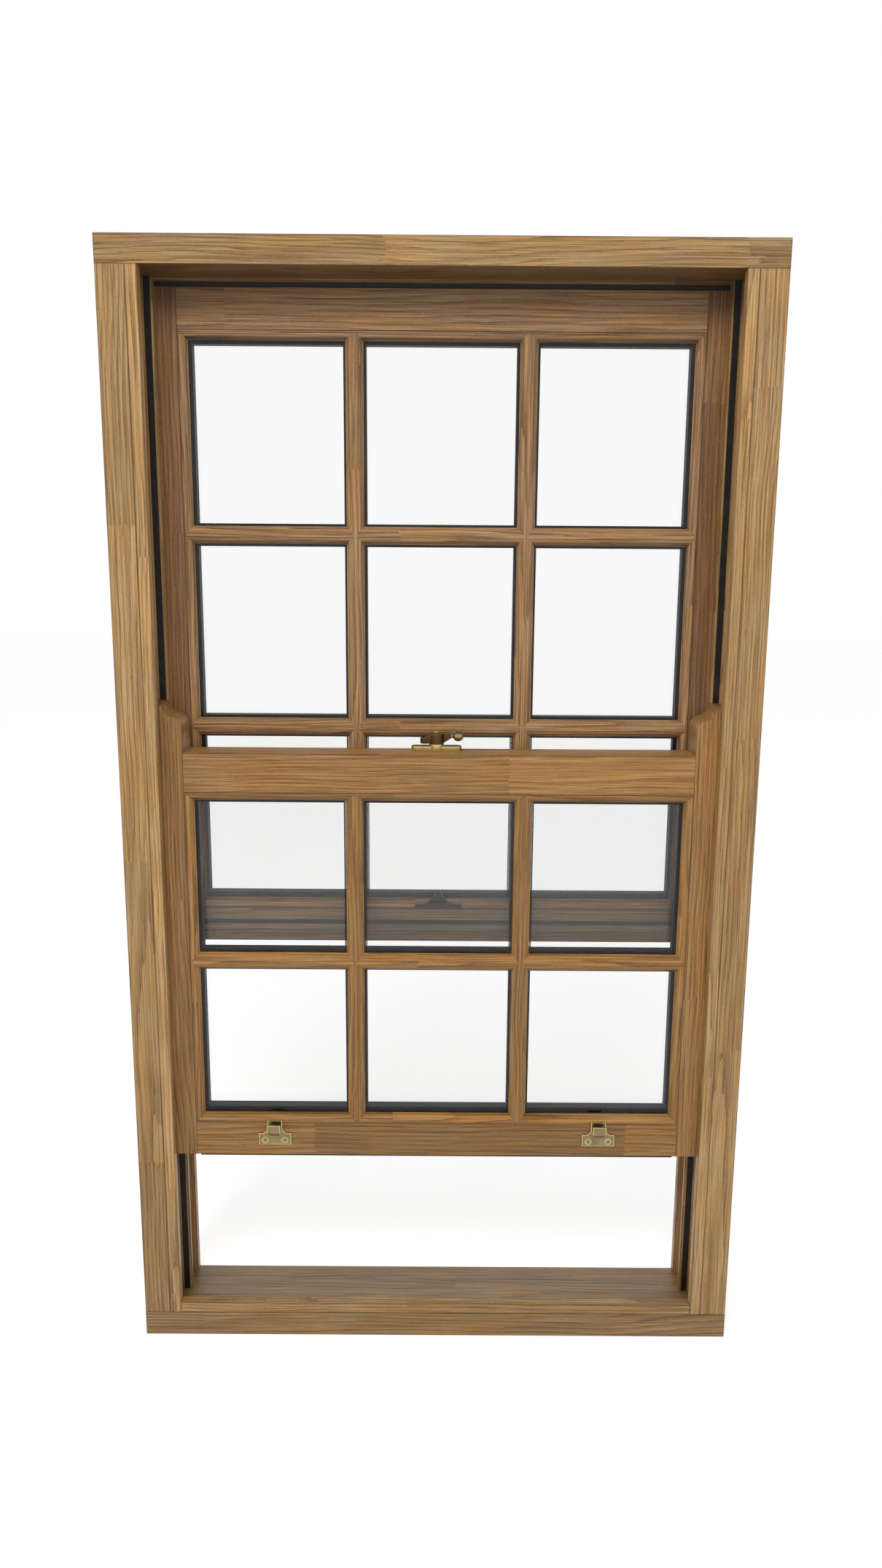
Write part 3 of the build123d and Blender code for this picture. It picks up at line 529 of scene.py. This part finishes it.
for side in ("left", "right"):
    casting(f"hook_lift_{side}", f"sash_lift_{side}", "lower_sash", LIFT_BRASS)
casting("fastener_base_casting", "fastener_base", "lower_sash", BASE_BRASS)
casting("fastener_pivot_rivet", "fastener_pivot", "lower_sash", BASE_BRASS, grain_mm=0.3)
casting("fastener_lever_casting", "fastener_lever", "fastener_lever", LEVER_BRONZE, passes=3)
casting("fastener_thumb_knob", "fastener_knob", "fastener_lever", KNOB_BRASS)
casting("fastener_keeper_casting", "fastener_keeper", "upper_sash", KEEPER_BRONZE)
dress("lift_screws", SCREW_BRASS)
dress("fastener_screws", BASE_BRASS)
dress("keeper_screws", KEEPER_BRONZE)


# ---------------------------------------------------------------- studio
FLOOR_REACH = 12.0
FLOOR_DROP = 0.0005
FLOOR_GLOW = 0.53
PAPER_GREYS = ((0.84, 0.84, 0.84, 1.0), (0.87, 0.87, 0.87, 1.0))

# Where the camera stands: right of the window's middle, out from its front, and up from the floor
CAMERA_RIGHT = -0.00095
CAMERA_OUT = 1.6172
CAMERA_UP = 1.21435
# How it is held, in degrees: tipped down, turned to the right, and rolled
CAMERA_ANGLES = (11.705, 0.132, 0.406)
LENS_MM = 26.90
SENSOR_MM = 36.0

# How the white falls away: from one height of view to another, from one strength to another
UNDERNEATH = (-0.45, -0.05, 0.10, 1.0)
OVERHEAD = (0.40, 0.75, 1.0, 0.25)


def paper():
    """Matt white paper for the floor."""
    finish = Finish("studio_paper")
    x, y, z = finish.place()
    tooth = finish.noise(finish.vector(x / 3, y / 3, z / 3), detail=3.0)
    return finish.surface(
        Base_Color=finish.mix(tooth, *PAPER_GREYS),
        Roughness=0.9,
        Emission_Color=WHITE,
        Emission_Strength=FLOOR_GLOW,
        Normal=finish.bump(tooth, 0.05, 0.1),
    )


def floor():
    """A wide sheet of paper just under the sill. Matt surfaces get no light from it."""
    grid = bmesh.new()
    bmesh.ops.create_grid(grid, x_segments=2, y_segments=2, size=FLOOR_REACH)
    mesh = bpy.data.meshes.new("floor")
    grid.to_mesh(mesh)
    grid.free()
    mesh.materials.append(paper())
    piece = bpy.data.objects.new("floor", mesh)
    bpy.context.scene.collection.objects.link(piece)
    piece.location.z = -FLOOR_DROP
    piece.visible_diffuse = False


def soft_light(name, place, target, size, watts):
    """A rectangular lamp that the glass and brass don't mirror."""
    data = bpy.data.lights.new(name, "AREA")
    data.shape = "RECTANGLE"
    data.size, data.size_y = size
    data.energy = watts
    lamp = bpy.data.objects.new(name, data)
    bpy.context.scene.collection.objects.link(lamp)
    lamp.location = place
    lamp.visible_glossy = False
    lamp.rotation_euler = (Vector(target) - Vector(place)).to_track_quat("-Z", "Y").to_euler()


def camera():
    """A long look from chest height, tipped down a little."""
    tip, turn, roll = (math.radians(angle) for angle in CAMERA_ANGLES)
    forward = Vector((
        math.sin(turn) * math.cos(tip), math.cos(turn) * math.cos(tip), -math.sin(tip)))
    right = Vector((math.cos(turn), -math.sin(turn), 0.0))
    up = right.cross(forward)
    tilted_right = math.cos(roll) * right + math.sin(roll) * up
    tilted_up = math.cos(roll) * up - math.sin(roll) * right
    data = bpy.data.cameras.new("camera")
    data.sensor_fit = "VERTICAL"
    data.sensor_height = SENSOR_MM
    data.lens = LENS_MM
    view = bpy.data.objects.new("camera", data)
    axes = Matrix((tilted_right, tilted_up, -forward)).transposed()
    stand = Matrix.Translation((CAMERA_RIGHT, cad_box[0][1] - CAMERA_OUT, CAMERA_UP))
    view.matrix_world = stand @ axes.to_4x4()
    bpy.context.scene.collection.objects.link(view)
    bpy.context.scene.camera = view


def world():
    """White all round the window, falling away to grey overhead and underneath."""
    white = bpy.data.worlds.new("studio_white")
    white.use_nodes = True
    tree = white.node_tree
    facing = tree.nodes.new("ShaderNodeTexCoord")
    height = tree.nodes.new("ShaderNodeSeparateXYZ")
    tree.links.new(facing.outputs["Generated"], height.inputs[0])
    strength = tree.nodes.new("ShaderNodeMath")
    strength.operation = "MULTIPLY"
    for index, levels in enumerate((UNDERNEATH, OVERHEAD)):
        fall = tree.nodes.new("ShaderNodeMapRange")
        fall.interpolation_type = "SMOOTHSTEP"
        for name, value in zip(("From Min", "From Max", "To Min", "To Max"), levels):
            fall.inputs[name].default_value = value
        tree.links.new(height.outputs["Z"], fall.inputs["Value"])
        tree.links.new(fall.outputs[0], strength.inputs[index])
    tree.links.new(strength.outputs[0], tree.nodes["Background"].inputs["Strength"])
    tree.nodes["Background"].inputs["Color"].default_value = WHITE
    bpy.context.scene.world = white


floor()
camera()
world()
soft_light(
    "front_softbox", place=(-0.4, -2.2, 3.0), target=(0.0, 0.0, 1.3), size=(1.8, 1.2), watts=58.0)
bpy.context.scene.view_settings.view_transform = "Standard"
